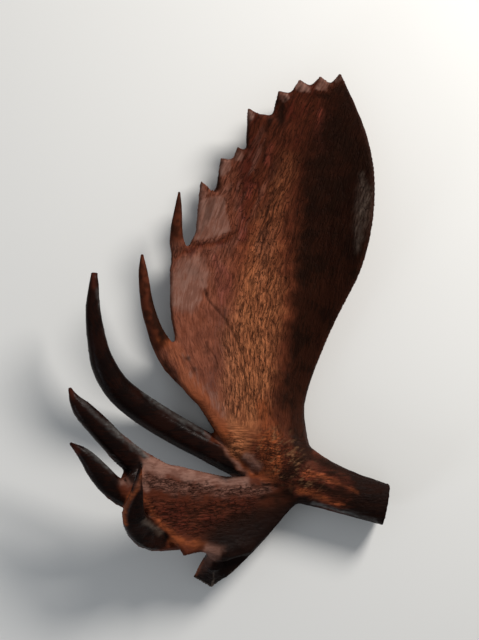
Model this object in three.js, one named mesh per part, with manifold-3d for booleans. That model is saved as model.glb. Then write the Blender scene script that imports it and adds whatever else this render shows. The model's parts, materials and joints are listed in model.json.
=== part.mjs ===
// One antler of a moose, lying on its back with the hollow side of the palms up.
// The beam forks into a broad main palm and a small brow palm. Tines leave both palms, and one long
// tine leaves the fork itself. The bone is one growth, sawn here into pieces at its main forks.
// Millimetres, +Z up. Shapes are laid out in a growth frame: its origin is the fork, +X runs down the
// beam, +Y runs up the main palm, +Z is the hollow side. The last lines tip the group to lie at rest.

import * as THREE from "three";
import { mergeVertices } from "three/addons/utils/BufferGeometryUtils.js";
import Module from "manifold-3d";

const wasm = await Module();
wasm.setup();

// ---------------------------------------------------------------- driving dimensions

const SAW_GAP = 0.3; // clearance between two pieces at a fork
const RING_PITCH = 16; // spacing of the rings along a tine or the beam

// Cross sections: `sides` corners on an oval, the first at `turn` degrees from the hollow side, and
// the oval widened by `swell` so that few corners still fill the width.
const BEAM_SECTION = { sides: 20, turn: 0, swell: 1 };
const ROUND = { sides: 14, turn: 0, swell: 1 };
const BEVELLED = { sides: 6, turn: 30, swell: 1.08 };
const RIDGED = { sides: 6, turn: 0, swell: 1.08 };
const FOLDED = { sides: 4, turn: -35, swell: 1.15 };
const SQUARED = { sides: 4, turn: 45, swell: 1.25 };

// Stations are [x, y, z, half width in the growth plane, half depth across it], from root to tip.
const BEAM_STATIONS = [
  [200, -68, 0, 33, 33],
  [160, -57, 0, 32, 32],
  [119, -45, 0, 33, 32],
  [73, -29, 0, 36, 34],
  [31, -12, 0, 44, 36],
  [0, 9, 0, 48, 36],
  [-14, 43, -5, 44, 25],
  [-22, 85, -14, 34, 12],
];
const BEAM_END = { point: [159.5, -57, 0], outward: [0.98, -0.18, 0] };

// `sawn` counts stations, or shares of one, to where a tine is parted from the piece that carries it.
const TINES = [
  {
    name: "long_brow_tine",
    section: BEVELLED,
    sawn: 2,
    stations: [
      [-20, -3, 0, 20, 18],
      [-60, 5, -9, 23, 21],
      [-120, 33, -13, 21.5, 22],
      [-146, 47, -10, 22, 22],
      [-191, 74, 3, 22.5, 21],
      [-229, 101, 22, 22, 20],
      [-256, 127, 38, 20.5, 19],
      [-274, 160, 54, 18.5, 17],
      [-281, 186, 64, 15.5, 15],
      [-288, 244, 82, 11.5, 11],
      [-286, 282, 90, 7.5, 8],
      [-285, 301, 93, 4.5, 5],
    ],
  },
  {
    name: "upper_brow_tine",
    section: BEVELLED,
    sawn: 2,
    stations: [
      [-178, -8, 72, 18, 8],
      [-215, 10, 90, 21, 15],
      [-254, 46, 111, 18, 16],
      [-276, 71, 123, 17, 14.5],
      [-299, 97, 137, 14.5, 12],
      [-311, 114, 143, 8, 8],
      [-318, 132, 148, 1.5, 1.5],
    ],
  },
  {
    name: "lower_brow_tine",
    section: BEVELLED,
    sawn: 2,
    stations: [
      [-180, -43, 74, 14, 8],
      [-220, -39, 95, 20, 15],
      [-255, -20, 113, 17.5, 16],
      [-276, 4, 126, 16, 14],
      [-297, 32, 140, 10, 9],
      [-318, 50, 150, 1.5, 1.5],
    ],
  },
  {
    name: "curled_brow_tine",
    section: FOLDED,
    sawn: 2.4,
    stations: [
      [-130, -98, 36, 22, 8],
      [-168, -99, 55, 25, 11],
      [-202, -93, 86, 27, 13],
      [-223, -64, 126, 21, 13],
      [-218, -27, 158, 11.5, 9.5],
      [-214, -3, 178, 6.5, 7],
      [-209, 25, 195, 1.5, 1.5],
    ],
  },
  {
    name: "broken_stub",
    section: SQUARED,
    sawn: 2,
    broken: { point: [-119, -170, 3], outward: [-0.35, -0.61, 0.71] },
    stations: [
      [-8, -46, 0, 28, 22],
      [-60, -100, 0, 33, 26],
      [-96, -143, 3, 27, 23],
      [-112, -160, 4, 22.5, 19],
      [-124, -176, 5, 18.5, 16],
      [-148, -206, 6, 15, 14],
    ],
  },
  {
    name: "lower_palm_tine",
    section: ROUND,
    sawn: 2,
    stations: [
      [-134, 130, 0, 20, 5],
      [-166, 163, 12, 21, 9],
      [-186, 190, 25, 16, 11],
      [-197, 214, 38, 12, 11],
      [-208, 252, 48, 10, 9.5],
      [-212, 284, 56, 8.5, 8],
      [-214, 305, 61, 7, 7],
      [-215, 331, 66, 1.5, 1.5],
    ],
  },
  {
    name: "upper_palm_tine",
    section: RIDGED,
    sawn: 2,
    stations: [
      [-136, 296, 9, 17, 5],
      [-156, 328, 27, 15, 9],
      [-164, 352, 35, 11.5, 9],
      [-162, 387, 44, 7.6, 7.5],
      [-160, 408, 49, 4.6, 5],
      [-159, 427, 53, 1.3, 1.3],
    ],
  },
];

// Outlines in the growth plane, both from the fork outwards. The front edge of the main palm is smooth
// at first and then runs in straight flanks from point to notch to point.
const PALM_REAR = [
  [20, -20],
  [41, 18],
  [34, 55],
  [31, 92],
  [40, 131],
  [57, 176],
  [75, 220],
  [95, 262],
  [114, 301],
  [129, 352],
  [137, 409],
  [137, 462],
  [127, 516],
  [111, 559],
  [93, 598],
];
const PALM_FRONT = [
  [-30, -15],
  [-66, 10],
  [-104, 54],
  [-125, 91],
  [-150, 118],
  [-168, 152],
  [-166, 200],
  [-173, 242],
  [-173, 275],
  [-173, 309],
  [-166, 332],
  [-145, 343],
];
const PALM_POINTS = [
  [-134, 364],
  [-130, 405],
  [-126, 441],
  [-110, 425],
  [-104, 424],
  [-95, 476],
  [-77, 476],
  [-70, 494],
  [-57, 490],
  [-56, 516],
  [-54, 552],
  [-41, 545],
  [-17, 543],
  [-7, 579],
  [11, 577],
  [25, 597],
  [41, 588],
  [57, 603],
  [71, 591],
  [87, 608],
];
const BROW_TOP = [
  [20, 10],
  [-33, -8],
  [-88, -11],
  [-127, -2],
  [-172, 10],
  [-215, 12],
  [-239, -6],
];
const BROW_BOTTOM = [
  [48, -22],
  [25, -50],
  [0, -74],
  [-26, -103],
  [-52, -129],
  [-86, -136],
  [-125, -122],
  [-150, -126],
  [-162, -110],
  [-190, -82],
  [-219, -50],
];

// Bone colours: the palms and the beam are red-brown, the brow tines polished nearly black.
const BROWN = { color: 0x6e4030, roughness: 0.6 };
const TAWNY = { color: 0x53301f, roughness: 0.5 };
const BLACKENED = { color: 0x2a1e1a, roughness: 0.35 };
const FINISHES = {
  main_palm: BROWN,
  brow_palm: BROWN,
  beam: BROWN,
  lower_palm_tine: TAWNY,
  upper_palm_tine: TAWNY,
  long_brow_tine: BLACKENED,
  upper_brow_tine: BLACKENED,
  lower_brow_tine: BLACKENED,
  curled_brow_tine: BLACKENED,
  broken_stub: BLACKENED,
};

// The small turn, in degrees, that brings the three lowest places of the bone onto one level.
const REST_TURN = { aboutX: -0.088, aboutY: -1.042 };

// The planes of the two main cuts, facing away from the beam.
const NECK_CUT = { point: [-25, 70, 0], outward: [0.12, 0.99, 0] };
const BROW_CUT = { point: [-35, -40, 0], outward: [-0.45, -0.89, 0] };

// ---------------------------------------------------------------- shaping helpers

function smoothCurve(points) {
  const places = points.map(([x, y, z = 0]) => new THREE.Vector3(x, y, z));
  return new THREE.CatmullRomCurve3(places, false, "centripetal");
}

// A closed tapered horn over a stretch of its stations' curve, given as two curve parameters.
function hornGeometry(stations, { sides, turn, swell }, from, to) {
  const spine = smoothCurve(stations.map(([x, y, z]) => [x, y, z]));
  const girth = smoothCurve(stations.map(([, , , width, depth]) => [width, depth]));
  const rings = Math.max(2, Math.round((spine.getLength() * (to - from)) / RING_PITCH));
  const start = THREE.MathUtils.degToRad(turn);
  const geometry = new THREE.CylinderGeometry(swell, swell, 1, sides, rings, false, start);
  const place = geometry.attributes.position;
  const hollowSide = new THREE.Vector3(0, 0, 1);
  for (let i = 0; i < place.count; i++) {
    const unit = new THREE.Vector3().fromBufferAttribute(place, i);
    const t = THREE.MathUtils.lerp(from, to, unit.y + 0.5);
    const ahead = spine.getTangent(t);
    const side = new THREE.Vector3().crossVectors(ahead, hollowSide).normalize();
    const rise = new THREE.Vector3().crossVectors(side, ahead);
    const half = girth.getPoint(t);
    const point = spine.getPoint(t);
    point.addScaledVector(side, unit.x * half.x);
    point.addScaledVector(rise, unit.z * half.y);
    place.setXYZ(i, point.x, point.y, point.z);
  }
  return geometry;
}

// How full a rounded edge is at a distance in from its rim: 0 on the rim, 1 from `reach` inwards.
function edgeFullness(distance, reach) {
  const missing = 1 - Math.min(1, distance / reach);
  return Math.sqrt(1 - missing ** 2);
}

// A closed blade between two edges given as equally long rows of points, with `shape.height` the
// middle surface over the growth plane and `shape.half` the half thickness along its normal.
function bladeGeometry(front, rear, columns, shape) {
  const rows = front.length - 1;
  const geometry = new THREE.BoxGeometry(1, 1, 1, columns, rows, 1);
  const place = geometry.attributes.position;
  for (let i = 0; i < place.count; i++) {
    const row = Math.round((place.getY(i) + 0.5) * rows);
    const across = (1 - Math.cos(Math.PI * (place.getX(i) + 0.5))) / 2;
    const { x, y } = front[row].clone().lerp(rear[row], across);
    const z = shape.height(x, y);
    const normal = new THREE.Vector3(z - shape.height(x + 1, y), z - shape.height(x, y + 1), 1);
    const length = front[row].distanceTo(rear[row]);
    const reach = shape.reach(x, y);
    const fullness =
      edgeFullness(across * length, reach) * edgeFullness((1 - across) * length, reach);
    const half = THREE.MathUtils.lerp(shape.rim(x, y), shape.half(x, y), fullness);
    normal.setLength(Math.sign(place.getZ(i)) * half);
    place.setXYZ(i, x + normal.x, y + normal.y, z + normal.z);
  }
  return geometry;
}

// Points added along straight runs, so that no two neighbours are further apart than `pitch`.
function subdivided(points, pitch) {
  const fine = [points[0]];
  for (let i = 1; i < points.length; i++) {
    const pieces = Math.ceil(points[i].distanceTo(points[i - 1]) / pitch);
    for (let k = 1; k <= pieces; k++) fine.push(points[i - 1].clone().lerp(points[i], k / pieces));
  }
  return fine;
}

// For each point of one edge, the point of the other edge at the same share of its length.
function matchedEdge(edge, otherCurve) {
  const travelled = [0];
  for (let i = 1; i < edge.length; i++) {
    travelled.push(travelled[i - 1] + edge[i].distanceTo(edge[i - 1]));
  }
  const whole = travelled[travelled.length - 1];
  return travelled.map((length) => otherCurve.getPointAt(length / whole));
}

function solid(geometry) {
  const bare = geometry.clone();
  bare.deleteAttribute("normal");
  bare.deleteAttribute("uv");
  const merged = mergeVertices(bare, 1e-3);
  return new wasm.Manifold(
    new wasm.Mesh({
      numProp: 3,
      vertProperties: merged.attributes.position.array,
      triVerts: new Uint32Array(merged.index.array),
    }),
  );
}

// A block whose one face lies in the cut's plane, moved out by `gap`, and that covers all beyond it.
function sawBlock(cut, gap = 0) {
  const size = 2500;
  const outward = new THREE.Vector3(...cut.outward).normalize();
  const block = new THREE.BoxGeometry(size, size, size);
  block.translate(0, 0, size / 2 + gap);
  block.applyQuaternion(
    new THREE.Quaternion().setFromUnitVectors(new THREE.Vector3(0, 0, 1), outward),
  );
  block.translate(...cut.point);
  return solid(block);
}

function namedMesh(name, body) {
  const { vertProperties, triVerts } = body.getMesh();
  const geometry = new THREE.BufferGeometry();
  geometry.setAttribute("position", new THREE.BufferAttribute(vertProperties, 3));
  geometry.setIndex(new THREE.BufferAttribute(triVerts, 1));
  geometry.computeVertexNormals();
  const material = new THREE.MeshStandardMaterial({ ...FINISHES[name], metalness: 0 });
  const mesh = new THREE.Mesh(geometry, material);
  mesh.name = name;
  return mesh;
}

// ---------------------------------------------------------------- the two palms

// The main palm is a dish, deepest along a line that starts near the neck and bends to the tip. The
// dish fades out towards the neck, which is a thick flat oval.
const mainPalm = {
  height(x, y) {
    const deepestX = -45 + 130 * (Math.max(0, y - 200) / 400) ** 1.5;
    const across = x - deepestX;
    const bow = y > 270 ? 55 * ((y - 270) / 330) ** 2 : 26 * ((270 - y) / 270) ** 2;
    const rearRoll = 15 * (Math.max(0, across - 60) / 80) ** 2;
    const opening = THREE.MathUtils.lerp(0.25, 1, THREE.MathUtils.smoothstep(y, -20, 160));
    return -28 + bow + opening * (0.003 * across ** 2 + rearRoll);
  },
  half: (x, y) => 7 + 29 * Math.max(0, 1 - (y + 20) / 230) ** 1.5,
  rim: (x, y) => THREE.MathUtils.lerp(14, 2.6, THREE.MathUtils.smoothstep(y, 0, 170)),
  reach: (x, y) => THREE.MathUtils.lerp(70, 42, THREE.MathUtils.smoothstep(y, 0, 200)),
};

// The brow palm rises away from the fork and is dished across its width. Above a ridge line its upper
// edge is a bevel that falls away to the back.
const browPalm = {
  height(x, y) {
    const rise = 110 * Math.max(0, -x / 240) ** 1.3 + 0.003 * (y + 55) ** 2;
    const aboveRidge = Math.max(0, y + 33 + 0.14 * x);
    return rise - 0.75 * aboveRidge * THREE.MathUtils.smoothstep(-x, 20, 110);
  },
  half: (x) => 8.5 + 18 * Math.max(0, 1 - (30 - x) / 170) ** 1.5,
  rim: (x) => THREE.MathUtils.lerp(14, 3.5, THREE.MathUtils.smoothstep(-x, -30, 110)),
  reach: () => 40,
};

const toVector = ([x, y]) => new THREE.Vector3(x, y, 0);
const palmFront = subdivided(
  [...smoothCurve(PALM_FRONT).getSpacedPoints(17), ...PALM_POINTS.map(toVector)],
  26,
);
const palmRear = matchedEdge(palmFront, smoothCurve(PALM_REAR));
const browBottom = subdivided(BROW_BOTTOM.map(toVector), 16);
const browTop = matchedEdge(browBottom, smoothCurve(BROW_TOP));

let bone = solid(bladeGeometry(palmFront, palmRear, 18, mainPalm))
  .add(solid(bladeGeometry(browBottom, browTop, 14, browPalm)))
  .add(solid(hornGeometry(BEAM_STATIONS, BEAM_SECTION, 0, 1)))
  .subtract(sawBlock(BEAM_END));

// ---------------------------------------------------------------- tines, and the cuts at the forks

const pieces = new Map();
for (const { name, section, stations, sawn, broken } of TINES) {
  const cut = sawn / (stations.length - 1);
  const spine = smoothCurve(stations.map(([x, y, z]) => [x, y, z]));
  const share = 0.001;
  const speed = spine.getPoint(cut).distanceTo(spine.getPoint(cut + share)) / share;
  const stump = solid(hornGeometry(stations, section, 0, cut));
  const tine = solid(hornGeometry(stations, section, cut + SAW_GAP / speed, 1));
  bone = bone.add(stump);
  pieces.set(name, broken ? tine.subtract(sawBlock(broken)) : tine);
}
const belowNeck = bone.subtract(sawBlock(NECK_CUT));
pieces.set("main_palm", bone.intersect(sawBlock(NECK_CUT, SAW_GAP)));
pieces.set("brow_palm", belowNeck.intersect(sawBlock(BROW_CUT, SAW_GAP)));
pieces.set("beam", belowNeck.subtract(sawBlock(BROW_CUT)));

// ---------------------------------------------------------------- the antler, lying at rest

const antler = new THREE.Group();
for (const [name, body] of pieces) antler.add(namedMesh(name, body));

// It rests on three places: under the fork, under the root of the long tine and on the main palm's
// back. The origin goes under the middle of the whole, on the surface that it lies on.
antler.rotation.set(
  THREE.MathUtils.degToRad(REST_TURN.aboutX),
  THREE.MathUtils.degToRad(REST_TURN.aboutY),
  0,
  "YXZ",
);
const extent = new THREE.Box3().setFromObject(antler, true);
const middle = extent.getCenter(new THREE.Vector3());
antler.position.set(-middle.x, -middle.y, -extent.min.z);

export default antler;
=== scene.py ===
# %% [markdown]
# # A shed moose antler, lying on its back
# The antler grew as one bone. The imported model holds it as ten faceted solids, parted at the main
# forks. Here it gets one continuous skin over all ten, with the furrows, pits and stains of real
# antler, and that skin is then parted at the same forks, so that each solid has its own finished piece.

# %% The frame
import json
from math import radians

import bmesh
import bpy
import numpy as np
from mathutils import Matrix, Vector
from mathutils.bvhtree import BVHTree


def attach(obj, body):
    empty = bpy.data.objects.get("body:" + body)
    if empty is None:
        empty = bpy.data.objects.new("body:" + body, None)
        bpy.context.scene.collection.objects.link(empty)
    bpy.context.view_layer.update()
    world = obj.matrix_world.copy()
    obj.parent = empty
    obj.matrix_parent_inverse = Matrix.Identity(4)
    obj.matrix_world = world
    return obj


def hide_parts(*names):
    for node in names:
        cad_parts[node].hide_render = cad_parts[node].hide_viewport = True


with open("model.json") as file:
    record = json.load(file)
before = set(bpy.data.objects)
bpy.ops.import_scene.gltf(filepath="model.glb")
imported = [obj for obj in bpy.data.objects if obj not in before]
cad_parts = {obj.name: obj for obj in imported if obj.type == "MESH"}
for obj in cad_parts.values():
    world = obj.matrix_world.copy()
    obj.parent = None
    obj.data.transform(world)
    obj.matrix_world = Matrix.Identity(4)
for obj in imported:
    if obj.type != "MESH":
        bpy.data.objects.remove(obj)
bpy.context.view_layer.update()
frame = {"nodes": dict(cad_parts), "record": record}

print("solids in the frame:", sorted(frame["nodes"]))

# %% [markdown]
# ## The growth frame
# Antler is easiest to describe along its own growth: millimetres from the main fork, x down the beam,
# y up the main palm, z towards the hollow side. The bone lies at rest turned by about one degree
# from that frame, so one matrix takes growth millimetres to the metres of the row frame.

# %% From growth millimetres to metres at rest
ABOUT_X_DEG = -0.088
ABOUT_Y_DEG = -1.042
FORK_PLACE_M = Vector((0.078428, -0.210565, 0.035886))
MM = 0.001

rest_turn = Matrix.Rotation(radians(ABOUT_Y_DEG), 4, "Y") @ Matrix.Rotation(radians(ABOUT_X_DEG), 4, "X")
rest_place = Matrix.Translation(FORK_PLACE_M) @ rest_turn
TURN = np.array(rest_turn.to_3x3())
FORK = np.array(FORK_PLACE_M)


def to_growth(metres):
    """Growth millimetres of points in the row frame."""
    return (metres - FORK) @ TURN / MM


def to_rest(growth):
    """Row-frame metres of points given in growth millimetres."""
    return growth * MM @ TURN.T + FORK


print("growth frame at", [round(v, 4) for v in FORK_PLACE_M])

# %% [markdown]
# ## The camera and the light
# The bone lies flat with its hollow side up, and a long lens looks down on it from about three metres.
# One wide soft light stands to the upper right, so that the far rim of the dish falls into shade. A
# weaker one from the lower left catches the polished edges, and a pale world fills the shadows.

# %% Camera
CAMERA_MM = Vector((-67.4, 229.4, 2850))
SEEN_HEIGHT_MM = 992
SENSOR_MM = 36

lens = bpy.data.cameras.new("long_lens")
lens.sensor_width = SENSOR_MM
lens.lens = SENSOR_MM * CAMERA_MM.z / SEEN_HEIGHT_MM
camera = bpy.data.objects.new("camera", lens)
bpy.context.scene.collection.objects.link(camera)
camera.matrix_world = rest_place @ Matrix.Translation(CAMERA_MM * MM)
bpy.context.scene.camera = camera
print("lens", round(lens.lens, 1), "mm, camera at", [round(v, 3) for v in camera.matrix_world.translation])

# %% Floor, lights and world
def soft_light(name, place, target, size, watts, colour):
    lamp = bpy.data.lights.new(name, "AREA")
    lamp.shape = "DISK"
    lamp.size = size
    lamp.energy = watts
    lamp.color = colour
    holder = bpy.data.objects.new(name, lamp)
    bpy.context.scene.collection.objects.link(holder)
    holder.location = place
    holder.rotation_euler = (Vector(target) - Vector(place)).to_track_quat("-Z", "Y").to_euler()


WARM = (1, 0.96, 0.91)
COOL = (0.86, 0.92, 1)
soft_light("key", place=(1.4, 1.6, 1.65), target=(0, 0.05, 0), size=0.9, watts=96, colour=WARM)
soft_light("edge", place=(-1.5, -1.4, 0.8), target=(0, 0, 0.05), size=0.7, watts=9, colour=COOL)

FLOOR_SIDE = 60
PAPER = (0.62, 0.62, 0.61, 1)
PAPER_ROUGHNESS = 0.9
bpy.ops.mesh.primitive_plane_add(size=FLOOR_SIDE)
floor = bpy.context.object
floor.name = "floor"
paper = bpy.data.materials.new("pale_paper")
paper.use_nodes = True
paper.node_tree.nodes["Principled BSDF"].inputs["Base Color"].default_value = PAPER
paper.node_tree.nodes["Principled BSDF"].inputs["Roughness"].default_value = PAPER_ROUGHNESS
floor.data.materials.append(paper)

SKY = (0.92, 0.96, 1, 1)
SKY_STRENGTH = 0.34
world = bpy.data.worlds.new("soft_sky")
world.use_nodes = True
world.node_tree.nodes["Background"].inputs["Color"].default_value = SKY
world.node_tree.nodes["Background"].inputs["Strength"].default_value = SKY_STRENGTH
bpy.context.scene.world = world
bpy.context.scene.view_settings.view_transform = "Standard"

# %% [markdown]
# ## One skin over all the pieces
# Real antler runs through its forks without a seam. The faceted solids are joined into one mesh and
# remeshed as voxels, which closes the saw gaps and gives an even net of small quads. The grid is fine
# enough to carry furrows a few millimetres wide. Where two tines part, the bone fills out into a web,
# which the solids leave out.

# %% Voxel remesh
VOXEL_M = 0.002
WELD_M = 1e-6


def joined_solids(nodes):
    """One bmesh of all the solids, and the name of the solid that each of its faces comes from."""
    together = bmesh.new()
    owner = []
    for name in sorted(nodes):
        together.from_mesh(nodes[name].data)
        owner += [name] * (len(together.faces) - len(owner))
    return together, owner


def remeshed(source, voxel):
    mesh = bpy.data.meshes.new("rough_skin")
    source.to_mesh(mesh)
    rough = bpy.data.objects.new("rough_skin", mesh)
    bpy.context.scene.collection.objects.link(rough)
    remesh = rough.modifiers.new("voxels", "REMESH")
    remesh.mode = "VOXEL"
    remesh.voxel_size = voxel
    result = rough.evaluated_get(bpy.context.evaluated_depsgraph_get()).to_mesh()
    places = np.zeros(len(result.vertices) * 3)
    result.vertices.foreach_get("co", places)
    quads = np.zeros(len(result.polygons) * 4, np.int64)
    result.polygons.foreach_get("vertices", quads)
    bpy.data.objects.remove(rough)
    return largest_shell(places.reshape(-1, 3), quads.reshape(-1, 4))


def largest_shell(places, quads):
    """The mesh without the few closed specks that the voxels leave inside the bone."""
    steps = np.concatenate([quads, quads[:, ::-1]])
    shell = np.arange(len(places))
    while True:
        lowest = shell.copy()
        np.minimum.at(lowest, steps, shell[steps].min(1)[:, None])
        lowest = lowest[lowest]
        if (lowest == shell).all():
            break
        shell = lowest
    kept = shell == np.bincount(shell).argmax()
    renumbered = np.cumsum(kept) - 1
    return places[kept], renumbered[quads[kept[quads[:, 0]]]]


# The bone fills out where two tines part: centre and half sizes in growth millimetres.
WEBS = {
    "between the brow tines": ((-222, -10, 98), (24, 22, 8)),
    "above the broken stub": ((-96, -124, 36), (24, 17, 23)),
    "behind the broken stub": ((-73, -117, 32), (21, 14, 17)),
    "on the broken stub": ((-106, -142, 24), (15, 16, 8)),
    "below the upper palm tine": ((-163, 322, 33), (10, 22, 6)),
}

solids, face_owner = joined_solids(frame["nodes"])
solid_tree = BVHTree.FromBMesh(solids)
welded = solids.copy()
bmesh.ops.remove_doubles(welded, verts=welded.verts, dist=WELD_M)
for centre, half in WEBS.values():
    bulge = rest_place @ Matrix.Translation(Vector(centre) * MM)
    bulge = bulge @ Matrix.Diagonal(Vector(half) * MM).to_4x4()
    bmesh.ops.create_icosphere(welded, subdivisions=3, radius=1, matrix=bulge)
skin_m, quads = remeshed(welded, VOXEL_M)
welded.free()
skin = to_growth(skin_m)
print("skin:", len(skin), "points,", len(quads), "quads")

# %% [markdown]
# ## Which solid each face stands for
# Every small face takes the name of the solid nearest to it. Where two solids met at a saw cut, the
# flat ends of both lie within a millimetre of each other, and a plane laid through them is the cut.

# %% Owners and cuts
NAMES = sorted(frame["nodes"])
TOUCH_M = 0.0008


def nearest_owner(points_m):
    place = [solid_tree.find_nearest(Vector(p))[2] for p in points_m]
    return np.array([NAMES.index(face_owner[face]) for face in place])


def cut_plane(tip, root):
    """Centre and outward normal, in growth millimetres, of the flat end of `tip` that faces `root`."""
    other = bmesh.new()
    other.from_mesh(frame["nodes"][root].data)
    tree = BVHTree.FromBMesh(other)
    ends = [v.co.copy() for v in frame["nodes"][tip].data.vertices
            if tree.find_nearest(v.co, TOUCH_M)[0] is not None]
    other.free()
    ends = to_growth(np.array(ends))
    centre = ends.mean(0)
    normal = np.linalg.svd(ends - centre)[2][2]
    body = to_growth(np.array([v.co for v in frame["nodes"][tip].data.vertices])).mean(0)
    return centre, normal * np.sign(np.dot(body - centre, normal)), len(ends)


BROW_TINES = ["long_brow_tine", "upper_brow_tine", "lower_brow_tine", "curled_brow_tine", "broken_stub"]
CUTS = {
    "main_palm": "beam",
    "brow_palm": "beam",
    "long_brow_tine": "beam",
    "upper_brow_tine": "brow_palm",
    "lower_brow_tine": "brow_palm",
    "curled_brow_tine": "brow_palm",
    "broken_stub": "brow_palm",
    "lower_palm_tine": "main_palm",
    "upper_palm_tine": "main_palm",
}
planes = {}
for tip, root in CUTS.items():
    centre, normal, count = cut_plane(tip, root)
    planes[tip] = (centre, normal)
    print(tip, "is cut from", root, "at", centre.round(1), "facing", normal.round(2), count, "corners")
owner = nearest_owner(skin_m[quads].mean(1))
for index, name in enumerate(NAMES):
    print(name, (owner == index).sum(), "quads")

# %% [markdown]
# ## Smoothing away the facets
# The solids have flats up to two centimetres wide. Each point is drawn towards its neighbours, but
# only as far as their surfaces face the same way. So the flats melt into one curved face, while the
# thin rims and the teeth of the palm keep their edges, as they do in worn antler. The tines are
# rounded a little more, as rubbing on trees rounds them. All this pulling sinks the skin inwards, so
# the lost thickness is given back along the normals, evenly over each neighbourhood.

# %% Relaxing the skin
def normals_of(places, quads):
    a, b, c, d = (places[quads[:, k]] for k in range(4))
    flat = np.cross(c - a, d - b)
    total = np.stack([
        np.bincount(quads.ravel(), np.repeat(flat[:, axis], 4), len(places)) for axis in range(3)
    ], 1)
    return total / np.linalg.norm(total, axis=1)[:, None]


def edges_of(quads):
    every = np.concatenate([quads[:, [k, (k + 1) % 4]] for k in range(4)])
    return every[every[:, 0] < every[:, 1]]


def spread(values, edges, weight, count):
    """For each point, the weighted sum of its neighbours' values."""
    one, other = edges.T
    return (np.bincount(one, weight * values[other], count)
            + np.bincount(other, weight * values[one], count))


FACING_ROUNDS = 5  # how many rounds go by before the facing is measured anew


def relaxed(places, edges, quads, rounds, pull, sharpness):
    """The places drawn towards their neighbours, and how flat the skin was at each: 1 flat, 0 a crease."""
    count = len(places)
    degree = np.bincount(edges.ravel(), minlength=count)
    flatness = None
    for turn in range(rounds):
        if turn % FACING_ROUNDS == 0:
            facing = normals_of(places, quads)
            alike = np.clip((facing[edges[:, 0]] * facing[edges[:, 1]]).sum(1), 0, 1) ** sharpness
            heft = spread(np.ones(count), edges, alike, count)
            flatness = heft / degree if flatness is None else flatness
        moved = np.stack([spread(places[:, axis], edges, alike, count) for axis in range(3)], 1)
        places = places + pull * (moved - heft[:, None] * places) / degree[:, None]
    return places, flatness


def capped(move, most):
    """The same moves, none longer than `most`."""
    length = np.linalg.norm(move, axis=1) + 1e-9
    return move * (most * np.tanh(length / most) / length)[:, None]


def smoothstep(low, high, value):
    share = np.clip((value - low) / (high - low), 0, 1)
    return share * share * (3 - 2 * share)


RELAX_ROUNDS = 80
SETTLE_ROUNDS = 4
TINE_ROUNDS = 24
LOSS_ROUNDS = 16
CREASE_MOVE_MM = 0.7
TINE_MOVE_MM = 2.0
FACE_MOVE_MM = 5
CREASED = 0.6  # flatness up to which the skin is held like a crease
FLAT = 0.95    # flatness from which it moves like a face
TINE_FADE = 12
PALM_TINE_FADE = 36

edges = edges_of(quads)
voxel_skin = skin
melted, flatness = relaxed(skin, edges, quads, RELAX_ROUNDS, pull=0.6, sharpness=10)
most = CREASE_MOVE_MM + (FACE_MOVE_MM - CREASE_MOVE_MM) * smoothstep(CREASED, FLAT, flatness)
skin = skin + capped(melted - skin, most)
skin, _ = relaxed(skin, edges, quads, SETTLE_ROUNDS, pull=0.5, sharpness=4)

names = np.array(NAMES)
point_owner = np.zeros(len(skin), np.int64)
point_owner[quads] = owner[:, None]
neighbours = 1 + np.bincount(edges.ravel(), minlength=len(skin))


def blurred(mask, rounds):
    for _ in range(rounds):
        mask = (mask + spread(mask, edges, 1, len(skin))) / neighbours
    return mask


def share_of(nodes, fade):
    """1 on the skin of the named solids and 0 elsewhere, blurred over `fade` rounds."""
    return blurred(np.isin(names[point_owner], nodes).astype(float), fade)


on_tine = share_of([name for name in NAMES if "tine" in name], TINE_FADE)
on_palm_tine = share_of(["lower_palm_tine", "upper_palm_tine"], PALM_TINE_FADE)
rounded, _ = relaxed(skin, edges, quads, TINE_ROUNDS, pull=0.7, sharpness=0.5)
skin = skin + on_tine[:, None] * capped(rounded - skin, TINE_MOVE_MM)
outward = normals_of(skin, quads)
lost = blurred(((voxel_skin - skin) * outward).sum(1), LOSS_ROUNDS)
skin = skin + lost[:, None] * outward
print("the skin had sunk by up to", lost.max().round(2), "mm")
print("points on tines:", int((on_tine > 0.5).sum()))
print("relaxed skin spans", (skin.max(0) - skin.min(0)).round(1), "mm")

# %% [markdown]
# ## Tools for relief and stains
# Relief and colour both come from two simple tools. Gradient noise gives soft random hills, and when
# its coordinates are stretched along the growth, it gives furrows. A stroke is a line drawn over the
# growth plane with a breadth at each point. It marks where a stain or a groove lies, and noise frays
# its edge so that it never looks drawn.

# %% Noise and strokes
def noise(places, seed):
    """Smooth random values from about -1 to 1 at an array of places; its hills are about 1 unit wide."""
    cell = np.floor(places).astype(np.int64)
    part = places - cell
    ease = part ** 3 * (part * (part * 6 - 15) + 10)
    total = np.zeros(len(places))
    for corner in np.ndindex(2, 2, 2):
        corner = np.array(corner)
        mixed = (cell + corner) @ np.array([73856093, 19349663, 83492791]) + seed * 40503
        mixed = ((mixed ^ (mixed >> 13)) * 1274126177) & 0xFFFFFFFF
        slope = np.stack([(mixed >> shift & 255) / 127.5 - 1 for shift in (4, 12, 20)], 1)
        share = np.where(corner, ease, 1 - ease).prod(1)
        total += share * (slope * (part - corner)).sum(1)
    return 1.6 * total


def rough_noise(places, seed, octaves=3):
    return sum(noise(places * 2 ** k, seed + k) / 2 ** k for k in range(octaves))


SWAY_MM = 3
sway = np.stack([noise(skin / 32, 1) + 0.5 * noise(skin / 13, 4), noise(skin / 32, 2)], 1)
swayed = skin[:, :2] + SWAY_MM * sway
fraying = rough_noise(skin / 14, 3)


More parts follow.
